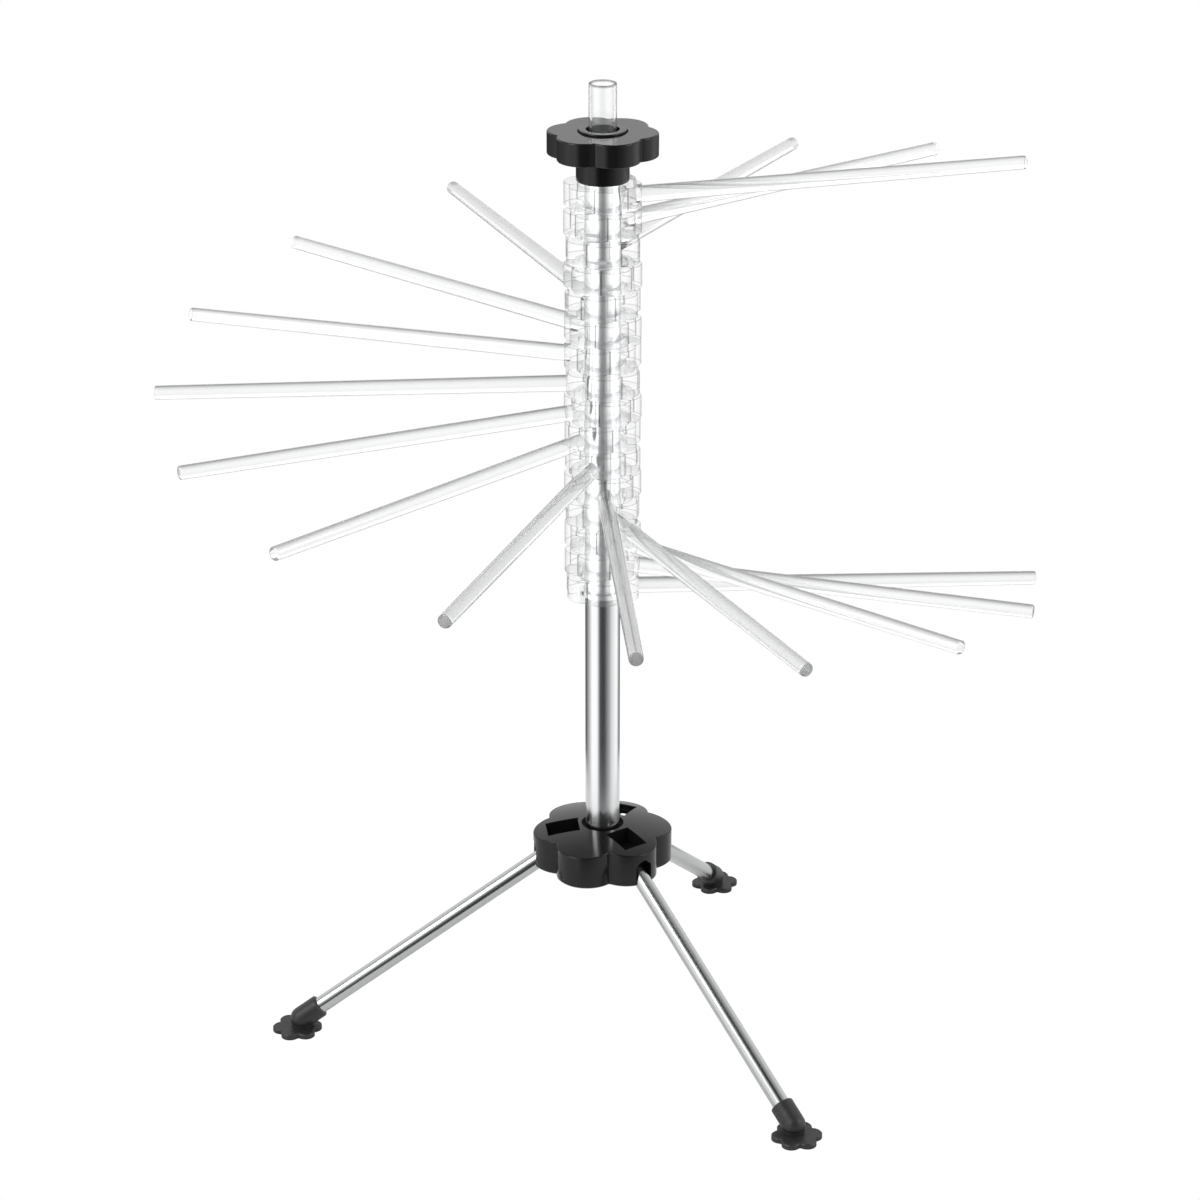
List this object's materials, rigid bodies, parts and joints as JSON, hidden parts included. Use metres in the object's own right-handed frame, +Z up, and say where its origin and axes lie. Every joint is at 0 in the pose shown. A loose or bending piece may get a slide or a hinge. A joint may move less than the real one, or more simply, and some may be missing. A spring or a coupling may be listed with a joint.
{
  "type": "pasta drying rack",
  "caption": "Free-standing pasta drying rack: a column on a folding tripod carries clear arms that fan open when the knob turns, with a lift-out wand.",
  "frame": {"origin": "on the worktop, on the column's axis, midway between the three feet", "axes": "+Z up along the column; seen from -Y as in the picture, +X points to the right"},
  "size_m": [0.3996, 0.3996, 0.4582],
  "materials": {
    "clear_plastic": "clear, polished",
    "polished_steel": "polished",
    "black_plastic": "glossy",
    "black_rubber": "matte",
    "nylon": "matte"
  },
  "bodies": {
    "stand": {"leg_hub": "black_plastic", "hub_screw": "polished_steel", "column_plug": "nylon", "column_tube": "polished_steel", "stack_seat": "polished_steel", "arm_ring_16": "clear_plastic", "arm_rod_16": "clear_plastic", "column_clip": "polished_steel", "friction_washer": "nylon", "leg_pin_1": "polished_steel", "leg_pin_2": "polished_steel", "leg_pin_3": "polished_steel"},
    "fan_head": {"arm_ring_01": "clear_plastic", "arm_rod_01": "clear_plastic", "knob_sleeve": "black_plastic", "knob": "black_plastic", "wand_guide": "black_plastic"},
    "wand": {"wand": "clear_plastic"},
    "arm_02_turning": {"arm_ring_02": "clear_plastic", "arm_rod_02": "clear_plastic"},
    "arm_03_turning": {"arm_ring_03": "clear_plastic", "arm_rod_03": "clear_plastic"},
    "arm_04_turning": {"arm_ring_04": "clear_plastic", "arm_rod_04": "clear_plastic"},
    "arm_05_turning": {"arm_ring_05": "clear_plastic", "arm_rod_05": "clear_plastic"},
    "arm_06_turning": {"arm_ring_06": "clear_plastic", "arm_rod_06": "clear_plastic"},
    "arm_07_turning": {"arm_ring_07": "clear_plastic", "arm_rod_07": "clear_plastic"},
    "arm_08_turning": {"arm_ring_08": "clear_plastic", "arm_rod_08": "clear_plastic"},
    "arm_09_turning": {"arm_ring_09": "clear_plastic", "arm_rod_09": "clear_plastic"},
    "arm_10_turning": {"arm_ring_10": "clear_plastic", "arm_rod_10": "clear_plastic"},
    "arm_11_turning": {"arm_ring_11": "clear_plastic", "arm_rod_11": "clear_plastic"},
    "arm_12_turning": {"arm_ring_12": "clear_plastic", "arm_rod_12": "clear_plastic"},
    "arm_13_turning": {"arm_ring_13": "clear_plastic", "arm_rod_13": "clear_plastic"},
    "arm_14_turning": {"arm_ring_14": "clear_plastic", "arm_rod_14": "clear_plastic"},
    "arm_15_turning": {"arm_ring_15": "clear_plastic", "arm_rod_15": "clear_plastic"},
    "leg_1": {"leg_knuckle_1": "black_plastic", "leg_tube_1": "polished_steel", "boot_1": "black_rubber"},
    "leg_2": {"leg_knuckle_2": "black_plastic", "leg_tube_2": "polished_steel", "boot_2": "black_rubber"},
    "leg_3": {"leg_knuckle_3": "black_plastic", "leg_tube_3": "polished_steel", "boot_3": "black_rubber"}
  },
  "joints": [
    {"name": "knob_turn", "type": "hinge", "parent": "stand", "child": "fan_head", "pos_m": [0, 0, 0.409], "axis": [0, 0, 1], "range_deg": [0, 346.4]},
    {"name": "wand_lift", "type": "slide", "parent": "stand", "child": "wand", "axis": [0, 0, 1], "range_m": [0, 0.36]},
    {"name": "arm_02_turn", "type": "hinge", "parent": "stand", "child": "arm_02_turning", "pos_m": [0, 0, 0.39689], "axis": [0, 0, 1], "range_deg": [-0.5, 325]},
    {"name": "arm_03_turn", "type": "hinge", "parent": "stand", "child": "arm_03_turning", "pos_m": [0, 0, 0.38459], "axis": [0, 0, 1], "range_deg": [-0.5, 300.8]},
    {"name": "arm_04_turn", "type": "hinge", "parent": "stand", "child": "arm_04_turning", "pos_m": [0, 0, 0.37228], "axis": [0, 0, 1], "range_deg": [-0.5, 276.2]},
    {"name": "arm_05_turn", "type": "hinge", "parent": "stand", "child": "arm_05_turning", "pos_m": [0, 0, 0.35996], "axis": [0, 0, 1], "range_deg": [-0.5, 251.5]},
    {"name": "arm_06_turn", "type": "hinge", "parent": "stand", "child": "arm_06_turning", "pos_m": [0, 0, 0.34766], "axis": [0, 0, 1], "range_deg": [-0.5, 225.4]},
    {"name": "arm_07_turn", "type": "hinge", "parent": "stand", "child": "arm_07_turning", "pos_m": [0, 0, 0.33535], "axis": [0, 0, 1], "range_deg": [-0.5, 200.8]},
    {"name": "arm_08_turn", "type": "hinge", "parent": "stand", "child": "arm_08_turning", "pos_m": [0, 0, 0.32304], "axis": [0, 0, 1], "range_deg": [-0.5, 179.1]},
    {"name": "arm_09_turn", "type": "hinge", "parent": "stand", "child": "arm_09_turning", "pos_m": [0, 0, 0.31073], "axis": [0, 0, 1], "range_deg": [-0.5, 158.6]},
    {"name": "arm_10_turn", "type": "hinge", "parent": "stand", "child": "arm_10_turning", "pos_m": [0, 0, 0.29841], "axis": [0, 0, 1], "range_deg": [-0.5, 136.2]},
    {"name": "arm_11_turn", "type": "hinge", "parent": "stand", "child": "arm_11_turning", "pos_m": [0, 0, 0.2861], "axis": [0, 0, 1], "range_deg": [-0.5, 111.9]},
    {"name": "arm_12_turn", "type": "hinge", "parent": "stand", "child": "arm_12_turning", "pos_m": [0, 0, 0.2738], "axis": [0, 0, 1], "range_deg": [-0.5, 89.3]},
    {"name": "arm_13_turn", "type": "hinge", "parent": "stand", "child": "arm_13_turning", "pos_m": [0, 0, 0.26149], "axis": [0, 0, 1], "range_deg": [-0.5, 68.5]},
    {"name": "arm_14_turn", "type": "hinge", "parent": "stand", "child": "arm_14_turning", "pos_m": [0, 0, 0.24918], "axis": [0, 0, 1], "range_deg": [-0.5, 43.7]},
    {"name": "arm_15_turn", "type": "hinge", "parent": "stand", "child": "arm_15_turning", "pos_m": [0, 0, 0.23687], "axis": [0, 0, 1], "range_deg": [-0.5, 20.8]},
    {"name": "leg_1_fold", "type": "hinge", "parent": "stand", "child": "leg_1", "pos_m": [0.01288, -0.01722, 0.09], "axis": [0.8007, 0.599, 0], "range_deg": [0, 55.7]},
    {"name": "leg_2_fold", "type": "hinge", "parent": "stand", "child": "leg_2", "pos_m": [0.00847, 0.01976, 0.09], "axis": [-0.9191, 0.3939, 0], "range_deg": [0, 55.7]},
    {"name": "leg_3_fold", "type": "hinge", "parent": "stand", "child": "leg_3", "pos_m": [-0.02135, -0.00255, 0.09], "axis": [0.1184, -0.993, 0], "range_deg": [0, 55.7]}
  ],
  "couplings": [
    {"joint": "arm_02_turn", "follows": "knob_turn", "ratio": 0.93678},
    {"joint": "arm_03_turn", "follows": "knob_turn", "ratio": 0.86692},
    {"joint": "arm_04_turn", "follows": "knob_turn", "ratio": 0.7959},
    {"joint": "arm_05_turn", "follows": "knob_turn", "ratio": 0.7246},
    {"joint": "arm_06_turn", "follows": "knob_turn", "ratio": 0.64925},
    {"joint": "arm_07_turn", "follows": "knob_turn", "ratio": 0.57823},
    {"joint": "arm_08_turn", "follows": "knob_turn", "ratio": 0.51559},
    {"joint": "arm_09_turn", "follows": "knob_turn", "ratio": 0.45641},
    {"joint": "arm_10_turn", "follows": "knob_turn", "ratio": 0.39174},
    {"joint": "arm_11_turn", "follows": "knob_turn", "ratio": 0.32159},
    {"joint": "arm_12_turn", "follows": "knob_turn", "ratio": 0.25635},
    {"joint": "arm_13_turn", "follows": "knob_turn", "ratio": 0.19631},
    {"joint": "arm_14_turn", "follows": "knob_turn", "ratio": 0.12471},
    {"joint": "arm_15_turn", "follows": "knob_turn", "ratio": 0.058603}
  ]
}
